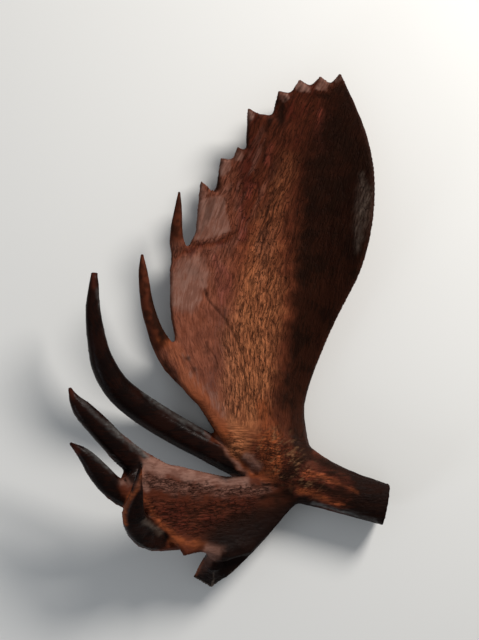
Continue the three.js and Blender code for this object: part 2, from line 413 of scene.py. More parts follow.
def stroke(points, soft=6, fray=0.5):
    """How deep inside a drawn stroke each skin point lies, 0 to 1; points are x, y and half breadth.

    A half breadth below 0 leaves only the soft fringe of the stroke.
    """
    points = np.array(points, float)
    best = np.full(len(skin), np.inf)
    for start, end in zip(points[:-1], points[1:]):
        run = end[:2] - start[:2]
        share = np.clip((swayed - start[:2]) @ run / (run @ run), 0, 1)
        away = np.linalg.norm(swayed - start[:2] - share[:, None] * run, axis=1)
        best = np.minimum(best, away - start[2] - share * (end[2] - start[2]))
    return 1 - smoothstep(-soft, soft, best + fray * soft * fraying)


def patch(corners, soft=2.5, fray=0.5):
    """How deep inside a drawn patch each skin point lies, 0 to 1; only its convex core is filled.

    The corners run clockwise, seen from the hollow side.
    """
    corners = np.array(corners, float)
    depth = np.full(len(skin), np.inf)
    for start, end in zip(corners, np.roll(corners, -1, axis=0)):
        run = (end - start) / np.linalg.norm(end - start)
        depth = np.minimum(depth, (swayed - start) @ [run[1], -run[0]])
    return smoothstep(-soft, soft, depth + fray * soft * fraying)


def laid_over(masks):
    """Several masks laid over each other."""
    return 1 - np.prod([1 - mask for mask in masks], axis=0)


def strokes(lines, **feel):
    return laid_over([stroke(line, **feel) for line in lines])


def patches(shapes, **feel):
    return laid_over([patch(shape, **feel) for shape in shapes])


facing = normals_of(skin, quads)
hollow_side = smoothstep(-0.15, 0.35, facing[:, 2])
back_side = 1 - hollow_side
print("share of the skin on the hollow side", round(hollow_side.mean(), 2))

# %% [markdown]
# ## The run of the grain
# Furrows follow the blood vessels that fed the antler while it grew. In the main palm they fan out
# from the neck. Along the beam and the brow palm they run straight with the bone. Each skin point
# gets its place across and along that grain, so that noise can be stretched the right way.

# %% Grain coordinates
PALM_Y = [0, 100, 250, 400, 600]
PALM_BREADTH = [72, 86, 130, 130, 112]


def deepest_line(y):
    """x of the line along which the main palm is deepest, by height up the palm."""
    return -45 + 130 * (np.maximum(0, y - 200) / 400) ** 1.5


x, y, z = skin.T
fan_breadth = np.interp(y, PALM_Y, PALM_BREADTH)
fan_across = 125 * (x - deepest_line(y)) / fan_breadth + 2.5 * noise(skin / 24, 5)
fan = np.stack([fan_across, y, z * 0.6], 1)
straight = np.stack([x, y, z], 1)
palm_share = smoothstep(25, 75, y + 0.25 * x) * (1 - smoothstep(-85, -150, x) * smoothstep(150, 90, y))
print("points on the fanned grain:", int((palm_share > 0.5).sum()))

# %% [markdown]
# ## Relief
# The hollow of the main palm is furrowed finely in the middle and nearly smooth towards its rims. A
# few deep grooves show where large vessels lay. The fork is pebbled, the beam is ridged along its
# length, the brow palm is combed sideways, and the tines were rubbed smooth on trees. The relief is
# made in the mesh itself, up to about three millimetres deep, and the finer scratches are left to
# the finish. Points that the relief pushed under the floor are lifted back onto it.

# %% Where each kind of relief lies
TAN_BAND = [[-73, 29, 16], [-57, 105, 36], [-48, 198, 42], [-34, 276, 34], [-27, 354, 22],
            [-12, 416, 14], [10, 477, 10]]
FORK_LINE = [[-18, 34, 30], [10, 2, 28], [46, -24, 16]]
BROW_FACE = [[-201, -49, 12], [-160, -66, 24], [-115, -72, 26], [-60, -58, 18]]
BROW_WRINKLES = [[-208, -8, 8], [-172, -20, 10], [-127, -28, 10], [-73, -32, 9], [-24, -30, 8]]
VESSEL_GROOVES = [
    [[-126, 292, 0.4], [-114, 262, 1.3], [-94, 236, 1.6], [-76, 206, 1.2], [-66, 180, 0.3]],
    [[-62, 440, 0.2], [-62, 407, 0.9], [-62, 370, 0.2]],
    [[-80, 338, 0.3], [-76, 300, 1.2], [-80, 276, 0.2]],
    [[-106, 330, 0.2], [-98, 304, 1.0], [-102, 280, 0.2]],
    [[-120, 196, 0.3], [-106, 172, 1.4], [-98, 146, 0.4]],
    [[1, 566, 0.4], [-5, 540, 1.5], [-11, 514, 0.3]],
    [[-64, 170, 0.2], [-58, 130, 1.2], [-58, 92, 0.3]],
    [[-30, 104, 0.2], [-10, 66, 1.1], [4, 34, 0.2]],
    [[20, 380, 0.2], [6, 320, 1.1], [0, 262, 0.2]],
    [[-44, 470, 0.2], [-36, 420, 1.0], [-40, 380, 0.2]],
    [[-24, 520, 0.2], [-18, 480, 1.0], [-24, 440, 0.2]],
]
CREASES = [
    [[-146, 342, 3], [-110, 344, 4.5], [-91, 352, 4], [-71, 366, 1.5]],
    [[-164, 324, 1.5], [-149, 334, 3.5], [-134, 339, 3]],
]
# The worn patches are pale pink-grey, partly worn bone and partly a painted reflection on faces that turn
# upwards.
WORN_AND_SHEEN_PATCHES = [
    [[-132, 412], [-94, 420], [-86, 392], [-82, 368], [-108, 356], [-140, 352]],
    [[-172, 300], [-160, 318], [-140, 327], [-122, 326], [-117, 296], [-126, 264], [-140, 240],
     [-182, 250]],
]
TOOTH_PATCHES = [
    [[-128, 440], [-116, 423], [-120, 414], [-129, 408]],
    [[-97, 474], [-79, 475], [-83, 459], [-97, 450]],
    [[-74, 491], [-60, 489], [-59, 481], [-67, 472], [-74, 475]],
    [[-55, 551], [-45, 543], [-48, 535], [-55, 532]],
    [[-8, 579], [7, 575], [10, 568], [-1, 563], [-8, 566]],
    [[25, 599], [39, 588], [42, 579], [22, 579], [14, 588]],
    [[57, 604], [73, 590], [68, 581], [48, 585]],
    [[89, 610], [91, 597], [82, 594], [78, 600]],
]

tan_band = stroke(TAN_BAND, soft=16)
fork = stroke(FORK_LINE, soft=16)
brow_face = stroke(BROW_FACE, soft=14) * (1 - palm_share)
brow_wrinkles = stroke(BROW_WRINKLES, soft=8, fray=0.9) * (1 - palm_share)
vessels = strokes(VESSEL_GROOVES, soft=1.5, fray=0.8)
creases = strokes(CREASES, soft=4)
worn_and_sheen_patches = np.maximum(patch(WORN_AND_SHEEN_PATCHES[0]), patch(WORN_AND_SHEEN_PATCHES[1], soft=6, fray=0.8)) * hollow_side
worn_and_sheen_patches *= 0.8 + 0.2 * smoothstep(-0.3, 0.3, rough_noise(skin / 18, 35))
tooth_patches = patches(TOOTH_PATCHES, soft=2.2, fray=0.8) * hollow_side
tooth_patches *= 0.7 + 0.3 * smoothstep(-0.3, 0.3, rough_noise(skin / 9, 39))
beam = smoothstep(35, 75, x) * (1 - smoothstep(40, 75, y))

# %% Raising and sinking the skin
fan_lines = np.abs(noise(fan / [6, 36, 30], 21) + 0.3 * noise(fan / [3.5, 14, 20], 22))
fan_pits = smoothstep(0.3, 0.58, noise(fan / [4.2, 9, 12], 31))
fan_pits *= smoothstep(-0.2, 0.5, noise(skin / 40, 32))
fan_furrow = np.maximum(1 - smoothstep(0.02, 0.14, fan_lines), 0.95 * fan_pits)
fan_swell = noise(fan / [13, 80, 60], 23)
comb_lines = np.abs(noise(straight / [34, 5.5, 11], 24) + 0.3 * noise(straight / [12, 3.6, 8], 25))
comb_furrow = 1 - smoothstep(0.02, 0.2, comb_lines)
wrinkle_lines = np.abs(noise(straight / [11, 5, 9], 33) + 0.3 * noise(straight / [5, 3.4, 6], 34))
wrinkle = 1 - smoothstep(0.02, 0.22, wrinkle_lines)
beam_ridges = noise(straight / [60, 8, 8], 26) + 0.4 * noise(straight / [22, 4.5, 4.5], 27)
pebbles = np.abs(rough_noise(straight / 6, 28))
beam_pits = smoothstep(0.35, 0.6, noise(straight / [7, 5, 5], 29)) * smoothstep(80, 150, x)

FURROW_MM = 0.95
SWELL_MM = 0.7
VESSEL_MM = 1.5
PEBBLE_MM = 1.0
COMB_MM = 1.3
WRINKLE_MM = 1.6
BEAM_RIDGE_MM = 1.1
BEAM_PIT_MM = 1.3
TINE_WAVE_MM = 0.25
WORN_MM = 0.9
CREASE_MM = 2.6
# Relief ends near the beam's flat cut. The line where it ends leans the other way than the cut does,
# so the half of the cut face with y below the beam's middle keeps some relief.
BEAM_MIDDLE_Y = -57
RELIEF_END_LEAN = 0.18
RELIEF_END_X = 157.5
RELIEF_FADE_MM = 1

in_palm = palm_share * (1 - on_tine)
worn = np.maximum(worn_and_sheen_patches, tooth_patches)
relief = -FURROW_MM * fan_furrow * in_palm * (0.22 + 0.78 * tan_band) * (1 - 0.8 * worn)
relief += SWELL_MM * fan_swell * in_palm * (1 - 0.6 * worn)
relief -= VESSEL_MM * vessels * hollow_side
relief += PEBBLE_MM * (pebbles - 0.4) * fork
combed = np.maximum(brow_face, 0.5 * (1 - palm_share))
relief -= COMB_MM * comb_furrow * combed * (1 - on_tine) * (1 - beam)
relief -= WRINKLE_MM * wrinkle * brow_wrinkles
relief += BEAM_RIDGE_MM * beam_ridges * beam - BEAM_PIT_MM * beam_pits * beam
relief += TINE_WAVE_MM * noise(straight / 30, 30) * on_tine
relief += WORN_MM * worn - CREASE_MM * creases * hollow_side * in_palm
relief *= smoothstep(0.45, 0.9, flatness)
towards_cut = x + RELIEF_END_LEAN * (y - BEAM_MIDDLE_Y)
relief *= 1 - smoothstep(RELIEF_END_X, RELIEF_END_X + RELIEF_FADE_MM, towards_cut)
skin = skin + facing * relief[:, None]
above_floor = to_rest(skin)
above_floor[:, 2] = np.maximum(above_floor[:, 2], 0)
skin = to_growth(above_floor)
print("relief from", relief.min().round(2), "to", relief.max().round(2), "mm")

# %% [markdown]
# ## Stains, and painted light and shade
# A growing antler is stained by blood, bark and soil. Here the hollow of the main palm is red-brown
# with a tan middle, and blackened towards its far rim, partly as a stain and partly as painted shade.
# Its free edge is a pale pink-grey, partly worn bone and partly a painted reflection. The brow tines
# are polished nearly black. Each stain is a mask on the skin, drawn with strokes, and the finish mixes
# its own colour into each mask. Some masks paint light and shade: shade under the brow palm and in
# hollows, lit facets in orange, and grey sheen along edges.

# %% Strokes for the stains and the painted light and shade
DARK_EDGE_Y = [20, 60, 90, 135, 180, 230, 315, 392, 430, 470, 508, 540, 570, 600]
DARK_EDGE_X = [10, -4, -12, -11, 2, 5, 10, 17, 26, 34, 45, 57, 74, 88]
ORANGE_LINES = [
    [[-166, 190, 7], [-150, 140, 13], [-118, 92, 14], [-92, 50, 12]],
    [[-33, 98, 9], [-17, 57, 14], [-24, 22, 12]],
    [[-33, 44, 11], [-15, 18, 12], [-21, -13, 9]],
    [[-86, 22, 3], [-58, -2, 4], [-34, -4, 7]],
    [[-186, 201, 4], [-172, 186, 6], [-158, 172, 6]],
    # The last stroke paints light: the lit lower rim of the brow palm.
    [[-210, -39, 2], [-199, -61, 3], [-185, -77, 4], [-169, -95, 5], [-148, -107, 5], [-118, -112, 5]],
]
BEAM_STREAKS = [
    [[30, -6, 3], [48, -7, 5], [71, -16, 4], [94, -25, 2], [114, -34, 0.5]],
    [[27, -33, 4], [47, -37, 5], [68, -45, 3.5], [92, -53, 1]],
]
BEAM_GLOW = [
    [[26, -2, 6], [60, -12, 9], [100, -26, 7]],
    [[24, -34, 6], [60, -42, 7], [88, -51, 4]],
]
BEAM_SHADE = [
    [[14, -22, 2], [33, -20, 3], [64, -28, 3], [98, -41, 3]],
    [[-48, -23, 1.5], [-20, -24, 2], [14, -22, 2]],
]
# Painted light: the left facets of the curled tine, the lower rim of the brow palm and the left edge of the
# stub are laid on in orange, as if lit.
TINE_FACETS = [
    [[-208, 10, 2], [-216, -13, 3.5], [-230, -35, 5], [-240, -58, 6], [-236, -72, 4]],
    [[-172, -104, 4], [-158, -106, 6]],
    [[-120, -122, 2], [-126, -144, 4], [-135, -166, 3]],
]
RED_TIPS = [
    [[-284, 300, 3], [-288, 280, 3]],
    [[-318, 130, 3], [-312, 114, 3]],
    [[-318, 49, 3], [-310, 36, 3]],
]
# The first stroke, along the upward-facing top strip of the brow palm, is partly a painted reflection.
PINK_LINES = [
    [[-212, 18, 9], [-180, 6, 12], [-142, -4, 12], [-97, -14, 10], [-62, -18, 8]],
    [[-214, 4, 6], [-206, -22, 4]],
    [[-221, -6, 6], [-242, -11, 4]],
    [[-56, 17, 7], [-42, 5, 8]],
    [[-101, 46, 2], [-84, 18, 3], [-60, -5, 3]],
    [[-209, 26, 6], [-200, 16, 8]],
]
VEIL_LINES = [
    [[-150, 172, 3], [-135, 140, 5], [-116, 115, 7], [-94, 87, 7]],
]
STUB_PATCH = [[-136, -164], [-118, -106], [-82, -110], [-100, -136], [-124, -166]]
RED_LINES = [
    [[-66, 360, 10], [-58, 420, 12], [-52, 478, 12], [-40, 530, 10]],
    [[0, 545, 12], [40, 560, 14], [70, 560, 12]],
    [[-146, 342, 7], [-110, 344, 9], [-91, 352, 8], [-71, 366, 6]],
    [[-164, 324, 5], [-149, 334, 7], [-134, 339, 7]],
    [[-112, 120, 8], [-92, 190, 10], [-92, 240, 8]],
]
RUDDY_LINES = [
    [[-95, 313, 4], [-85, 298, 7], [-88, 273, 5]],
    [[-50, 437, 4], [-51, 423, 4]],
    [[-67, 418, 4], [-62, 360, 6]],
    [[-108, 325, 4], [-98, 298, 5], [-95, 261, 6]],
    [[57, 553, 4], [54, 515, 6], [60, 492, 4]],
    [[-20, 500, 5], [-26, 470, 5]],
]
DARK_LINES = [
    [[-99, 452, 2], [-99, 430, 4]],
    [[-57, 532, 2], [-58, 498, 3]],
    [[-9, 563, 3], [-2, 553, 5], [-8, 540, 4]],
    [[53, 576, 2], [72, 574, 6], [86, 584, 6]],
    [[-18, 567, 1], [-21, 528, 2], [-27, 499, 2], [-33, 469, 1]],
    [[-30, -44, 4], [4, -40, 7], [26, -36, 4]],
    [[-194, 188, 0], [-173, 146, 1], [-147, 110, 1], [-121, 75, 1], [-107, 55, 0]],
    [[-146, 170, 1], [-138, 155, 2]],
    [[-119, 188, 0], [-112, 170, 0.5], [-104, 150, 0]],
    [[6, -10, 8], [22, 6, 10], [34, 24, 8]],
    [[1, 566, 3], [-5, 540, 4], [-11, 514, 3]],
    [[30, 92, 16], [26, 55, 15], [38, 22, 10]],
    [[50, 17, 5], [95, -2, 6], [142, -18, 8]],
    [[60, -30, 3], [100, -34, 5]],
]
# Painted shadow along the left edges of the two palm tines.
PALM_TINE_SHADE = [
    [[-198, 300, 4], [-200, 262, 5], [-194, 226, 6], [-182, 202, 5]],
    [[-158, 424, 4], [-152, 391, 5], [-148, 364, 5], [-146, 346, 3]],
]
TAN_FADE_Y = [150, 260, 330, 420, 500]
TAN_FADE = [1, 0.9, 0.55, 0.42, 0.2]
# Painted reflection: the grey sheen near the far rim of the palm and the one inside the curled tine stand
# in for reflected light.
RIM_SHEEN = [[119, 452, -5], [122, 428, 4], [121, 400, 8], [116, 372, 4], [110, 332, -6]]
SHEEN_LINES = [
    [[-207, -69, 1], [-198, -77, 1.5], [-187, -88, 1.5]],
]
# Painted reflection along the upper edges of the brow tines and the lower edge of the beam.
TINE_EDGE_SHEEN_LINES = [
    [[-281, 274, 1], [-275, 237, 1.5], [-264, 199, 2], [-248, 172, 2.5], [-229, 142, 2.5],
     [-205, 109, 2.5]],
    [[-205, 109, 2.5], [-175, 86, 3], [-144, 68, 3], [-113, 48, 2]],
    [[-302, 114, 1], [-274, 84, 2], [-257, 69, 3], [-240, 55, 4], [-222, 40, 4], [-204, 25, 4]],
    [[-293, 40, 1], [-268, 18, 2], [-252, 2, 1]],
]
BEAM_EDGE_SHEEN_LINES = [
    [[47, -53, 1.5], [72, -59, 3], [95, -65, 3.5], [119, -73, 3.5], [142, -80, 2.5]],
]
# Painted glints along the edges of the broken stub.
EDGE_GLINTS = [
    [[-108, -160, 0.3], [-110, -184, 1]],
    [[-110, -184, 1], [-88, -168, 1.5], [-72, -150, 0.5]],
    [[-138, -170, 0.5], [-112, -184, 0.5]],
]
BLACK_LINES = [
    [[-276, 58, 10], [-259, 43, 12], [-245, 29, 13], [-233, 12, 11], [-224, -4, 8]],
    [[-258, 62, 6], [-240, 46, 8], [-222, 34, 7], [-207, 24, 4]],
    [[-236, 34, 8], [-224, 20, 9], [-214, 8, 6]],
    [[-276, 2, 9], [-259, -22, 10], [-245, -41, 9], [-236, -52, 5]],
]
# Painted shade in the hollow of the curled tine.
CURLED_HOLLOW = [[-207, -62], [-190, -78], [-176, -96], [-178, -114], [-204, -120], [-226, -106],
                 [-236, -82]]
BLACK_ROOT = [[-165, 84], [-129, 57], [-96, 34], [-76, 9], [-66, -11], [-88, -16], [-140, 8], [-165, 26]]

# %% Masks for the stains and the painted light and shade
BLACK_FADE = 24
CURLED_TINE_Z = 135  # above this height only the curled tine is left over the brow palm
BROW_TINE_Z = 20
CURLED_HOLLOW_Z = 60

# The far rim of the palm is darkened partly as a stain and partly as painted shade, where the dish turns
# from the light.
dark_line = np.interp(y, DARK_EDGE_Y, DARK_EDGE_X)
far_side = smoothstep(-21, 21, x - dark_line + 13 * rough_noise(straight / 24, 41)) * palm_share
# Painted shade on the underside of the brow palm, where it turns away from the light.
below_brow = -(y + 51 - 0.356 * (x + 44))
brow_under = smoothstep(-16, 22, below_brow + 9 * rough_noise(straight / 22, 42)) * smoothstep(-150, -95, x)
brow_under *= (1 - palm_share) * (1 - beam)
beam_dark = beam * smoothstep(-0.5, 0.35, 0.8 * rough_noise(straight / [30, 9, 9], 43) + (x - 82) / 70)
# Painted shadow on the left edges of the palm tines.
tine_shade = strokes(PALM_TINE_SHADE, soft=4, fray=0.8) * on_palm_tine
dark_lines = laid_over([strokes(DARK_LINES, soft=6, fray=0.8), tine_shade])
# Painted light on the lit facets of the tines and the stub.
facets = strokes(TINE_FACETS, soft=3, fray=0.5)
stub_patch = patch(STUB_PATCH, soft=6, fray=0.8) * hollow_side
stub_patch *= smoothstep(-100, -116, y + 0.25 * (x + 118))
stub_patch *= 0.85 - 0.42 * smoothstep(-124, -162, y)
orange = strokes(ORANGE_LINES, soft=6, fray=0.8) * hollow_side
streaks = strokes(BEAM_STREAKS, soft=4, fray=0.8) * hollow_side
streaks *= 0.55 + 0.45 * smoothstep(-0.25, 0.2, noise(straight / [34, 4.5, 6], 46))
beam_shade = strokes(BEAM_SHADE, soft=2.5, fray=0.8) * hollow_side
glow = strokes(BEAM_GLOW, soft=7, fray=1.2) * hollow_side
veil = strokes(VEIL_LINES, soft=6, fray=1.2) * smoothstep(-0.2, 0.25, noise(fan / [5, 22, 12], 52))
pink_strokes = strokes(PINK_LINES, soft=5, fray=0.7) * hollow_side * (z < CURLED_TINE_Z)
pink = laid_over([worn_and_sheen_patches, tooth_patches, stub_patch, pink_strokes])
black_root = patch(BLACK_ROOT, soft=5)
blackened = share_of(BROW_TINES, BLACK_FADE)
root_zone = (x > -122) & (x < 0) & (y > -30) & (y < 80)
blackened = np.where(root_zone, black_root, np.maximum(blackened, black_root))
black_strokes = strokes(BLACK_LINES, soft=4) * (z > BROW_TINE_Z)
# Painted shade in the curled tine's hollow, laid on as black.
curled_hollow = patch(CURLED_HOLLOW, soft=3) * (z > CURLED_HOLLOW_Z)
blackened = laid_over([blackened, black_strokes, curled_hollow])
red_tips = strokes(RED_TIPS, soft=8)
blackened *= (1 - facets) * (1 - stub_patch) * (1 - 0.5 * red_tips)

mottled = smoothstep(-0.35, 0.35, rough_noise(skin / 13, 36))
upper_part = smoothstep(230, 400, y) * in_palm * hollow_side
dusky = smoothstep(0.12, 0.5, noise(fan / [4.5, 50, 30], 47) + 0.4 * noise(skin / 30, 48)) * upper_part
bloom = smoothstep(0.0, 0.5, rough_noise(fan / [16, 60, 30], 49)) * upper_part * smoothstep(10, -60, x)
slanted = np.stack([0.77 * x + 0.64 * y, 0.77 * y - 0.64 * x, z], 1)
scratched = smoothstep(0.1, 0.4, noise(slanted / [15, 3.4, 8], 50)) * fork * hollow_side
# Painted sheen along the edges of the tines and the beam.
edge_sheen = laid_over([0.6 * strokes(TINE_EDGE_SHEEN_LINES, soft=4, fray=0.6), strokes(BEAM_EDGE_SHEEN_LINES, soft=3, fray=0.9)])
edge_sheen *= smoothstep(-0.8, -0.2, facing[:, 2])
edge_sheen *= 0.7 + 0.3 * smoothstep(-0.25, 0.25, rough_noise(skin / 6, 51))
upper_streaks = smoothstep(0.1, 0.5, noise(fan / [9, 70, 40], 37)) * smoothstep(230, 400, y) * in_palm
# Painted shade under the brow palm, and the darker end of the beam, both laid on as black.
brow_shade_and_dark_beam_end = laid_over([0.85 * brow_under * smoothstep(0, 40, below_brow), 0.8 * beam * smoothstep(84, 130, x)])
cloudy_back = smoothstep(0, 0.6, rough_noise(straight / 40, 45))
tan_fade = np.interp(y, TAN_FADE_Y, TAN_FADE)
unstained = (1 - facets) * (1 - streaks) * (1 - stub_patch) * (1 - 0.75 * glow) * (1 - beam_shade)
stains = {
    "tan": tan_band * hollow_side * tan_fade + 0.35 * back_side * cloudy_back,
    "orange": laid_over([orange, facets]),
    # Pale pink-grey: partly worn bone, partly a painted reflection on edges and faces turned upwards.
    "pink": (1 - 0.9 * creases) * laid_over([
        pink,
        0.5 * brow_wrinkles,
        0.25 * in_palm * smoothstep(-50, -100, x) * hollow_side,
        0.3 * bloom,
        0.7 * veil * hollow_side,
    ]),
    "red": laid_over([
        strokes(RED_LINES, soft=10, fray=0.9) * hollow_side,
        0.75 * brow_face,
        0.7 * upper_streaks,
        0.9 * creases * in_palm * hollow_side,
    ]),
    "ruddy": laid_over([
        strokes(RUDDY_LINES, soft=4, fray=0.8) * hollow_side,
        0.8 * glow,
        0.6 * red_tips,
    ]),
    "deep": laid_over([
        smoothstep(280, 500, y + 0.8 * x) * palm_share,
        0.9 * (1 - palm_share),
        0.6 * back_side,
        0.85 * on_tine,
    ]),
    # The dark mask is partly stain and partly painted shade: the far rim, the underside of the brow palm
    # and the palm tines' left edges.
    "dark": beam_shade + unstained * laid_over([
        far_side * hollow_side,
        brow_under,
        beam_dark,
        dark_lines,
        0.7 * smoothstep(0.45, 0.95, on_palm_tine) * mottled,
        0.42 * dusky,
    ]),
    "scratched": 0.8 * scratched,
    "gold": streaks * (1 - beam_shade),
    "black": laid_over([blackened, brow_shade_and_dark_beam_end * (1 - stub_patch)]),
    "furrow": laid_over([
        0.7 * fan_furrow * in_palm * tan_band,
        0.8 * vessels,
        comb_furrow * brow_face,
        wrinkle * brow_wrinkles,
        0.9 * smoothstep(0.3, 0.08, pebbles) * fork,
        0.8 * smoothstep(0.1, -0.35, beam_ridges) * beam,
    ]),
    "lined": (1 - on_tine) * (1 - 0.85 * pink) * (1 - 3 * palm_share * (1 - palm_share)) * laid_over([
        0.75 * tan_band,
        0.8 * fork,
        brow_wrinkles,
        brow_face,
        0.35 * in_palm,
        0.5 * beam,
        0.5 * upper_part,
    ]),
    "polish": blackened,
    # Painted reflection: grey sheen and glints along edges.
    "sheen": hollow_side * laid_over([
        stroke(RIM_SHEEN, soft=13, fray=0.25),
        strokes(SHEEN_LINES, soft=7, fray=0.5),
        strokes(EDGE_GLINTS, soft=1.5),
    ]),
    "edge_sheen": edge_sheen,
}
for stain, mask in stains.items():
    print("stain", stain, "covers", round(float((mask > 0.5).mean()), 3), "of the skin")

# %% [markdown]
# ## The finish of the bone
# The recipe starts from red-brown bone, clouded by noise. Then each stain is mixed in where its mask
# lies. Scratches finer than the mesh come from noise that is stretched along the grain, and they
# darken the colour and bend the light at once. The colour is painted lighter on the ridges of the
# strands and darker between them, as painted highlight and shade. Furrows are made darker and duller.
# The grey sheen on edges is a painted reflection: a pale colour, not a gloss.

# %% A small bench for wiring finishes
class Finish:
    """A material whose recipe is written one wired node a line."""

    def __init__(self, name):
        self.material = bpy.data.materials.new(name)
        self.material.use_nodes = True
        self.tree = self.material.node_tree
        self.shader = self.tree.nodes["Principled BSDF"]

    def node(self, kind, inputs, **settings):
        made = self.tree.nodes.new(kind)
        for key, value in settings.items():
            setattr(made, key, value)
        for key, value in inputs.items():
            self.feed(made.inputs[key], value)
        return made

    def feed(self, socket, value):
        if isinstance(value, bpy.types.NodeSocket):
            self.tree.links.new(value, socket)
        else:
            socket.default_value = value

    def mask(self, name):
        return self.node("ShaderNodeAttribute", {}, attribute_name=name).outputs["Fac"]

    def vector(self, name):
        return self.node("ShaderNodeAttribute", {}, attribute_name=name).outputs["Vector"]

    def stretched(self, vector, scales):
        return self.node("ShaderNodeVectorMath", {0: vector, 1: scales}, operation="MULTIPLY").outputs[0]

    def noise(self, vector, scale=1.0, detail=3.0, roughness=0.55):
        inputs = {"Vector": vector, "Scale": scale, "Detail": detail, "Roughness": roughness}
        return self.node("ShaderNodeTexNoise", inputs).outputs["Fac"]

    def ramp(self, value, low, high, to_low=0.0, to_high=1.0):
        inputs = {"Value": value, "From Min": low, "From Max": high, "To Min": to_low, "To Max": to_high}
        return self.node("ShaderNodeMapRange", inputs, interpolation_type="SMOOTHSTEP").outputs["Result"]

    def math(self, operation, *values):
        """The same operation over several values, from left to right."""
        result = values[0]
        for value in values[1:]:
            result = self.node("ShaderNodeMath", {0: result, 1: value}, operation=operation).outputs[0]
        return result

    def mix(self, share, below, above):
        made = self.node("ShaderNodeMix", {}, data_type="RGBA")
        self.feed(made.inputs["Factor"], share)
        self.feed(made.inputs[6], below)
        self.feed(made.inputs[7], above)
        return made.outputs[2]

    def scaled(self, colour, factor):
        return self.node("ShaderNodeVectorMath", {0: colour, "Scale": factor}, operation="SCALE").outputs[0]


# %% The recipe
RED_BROWN = (0.165, 0.041, 0.017, 1)
BROWN = (0.104, 0.026, 0.012, 1)
DEEP_BROWN = (0.044, 0.0102, 0.0048, 1)
TAN = (0.262, 0.090, 0.037, 1)
ORANGE = (0.195, 0.049, 0.0165, 1)
PINK = (0.172, 0.089, 0.068, 1)
GOLD = (0.270, 0.066, 0.021, 1)
OLIVE = (0.140, 0.068, 0.032, 1)
RUDDY = (0.150, 0.032, 0.020, 1)
OX_BLOOD = (0.050, 0.0095, 0.0050, 1)
SOOT = (0.0105, 0.0038, 0.0020, 1)
BLACK = (0.0050, 0.0025, 0.0021, 1)
# GREY_SHEEN is the colour of a painted reflection.
GREY_SHEEN = (0.135, 0.098, 0.076, 1)
# The cool grey of the painted edge sheen.
EDGE_SHEEN_GREY = (0.110, 0.107, 0.103, 1)
GROOVE_DARK = (0.013, 0.0046, 0.0028, 1)
GLOSS = 0.032
POLISH = 0.28
GRIT = 0.06
RIDGE_LIGHT = 0.42
SCRATCH_DIRT = 0.6
NET_DIRT = 0.6
FURROW_DARKENING = 0.8
BUMP_DEPTH_M = 0.0022
# How much of each colour a stain lays on, where the cloudy noise is thin and where it is thick.
STAIN_COATS = [
    ("deep", DEEP_BROWN, 0.75, 1.0),
    ("red", OX_BLOOD, 0.1, 1.0),
    ("tan", TAN, 0.6, 1.0),
    ("orange", ORANGE, 0.45, 0.95),
    ("ruddy", RUDDY, 0.4, 0.85),
    ("pink", PINK, 0.55, 0.95),
    ("dark", SOOT, 0.86, 1.0),
    ("black", BLACK, 0.9, 1.0),
    ("scratched", OLIVE, 0.4, 0.9),
    ("gold", GOLD, 0.5, 1.0),
    ("sheen", GREY_SHEEN, 0.55, 0.9),
    ("edge_sheen", EDGE_SHEEN_GREY, 0.5, 0.9),
]


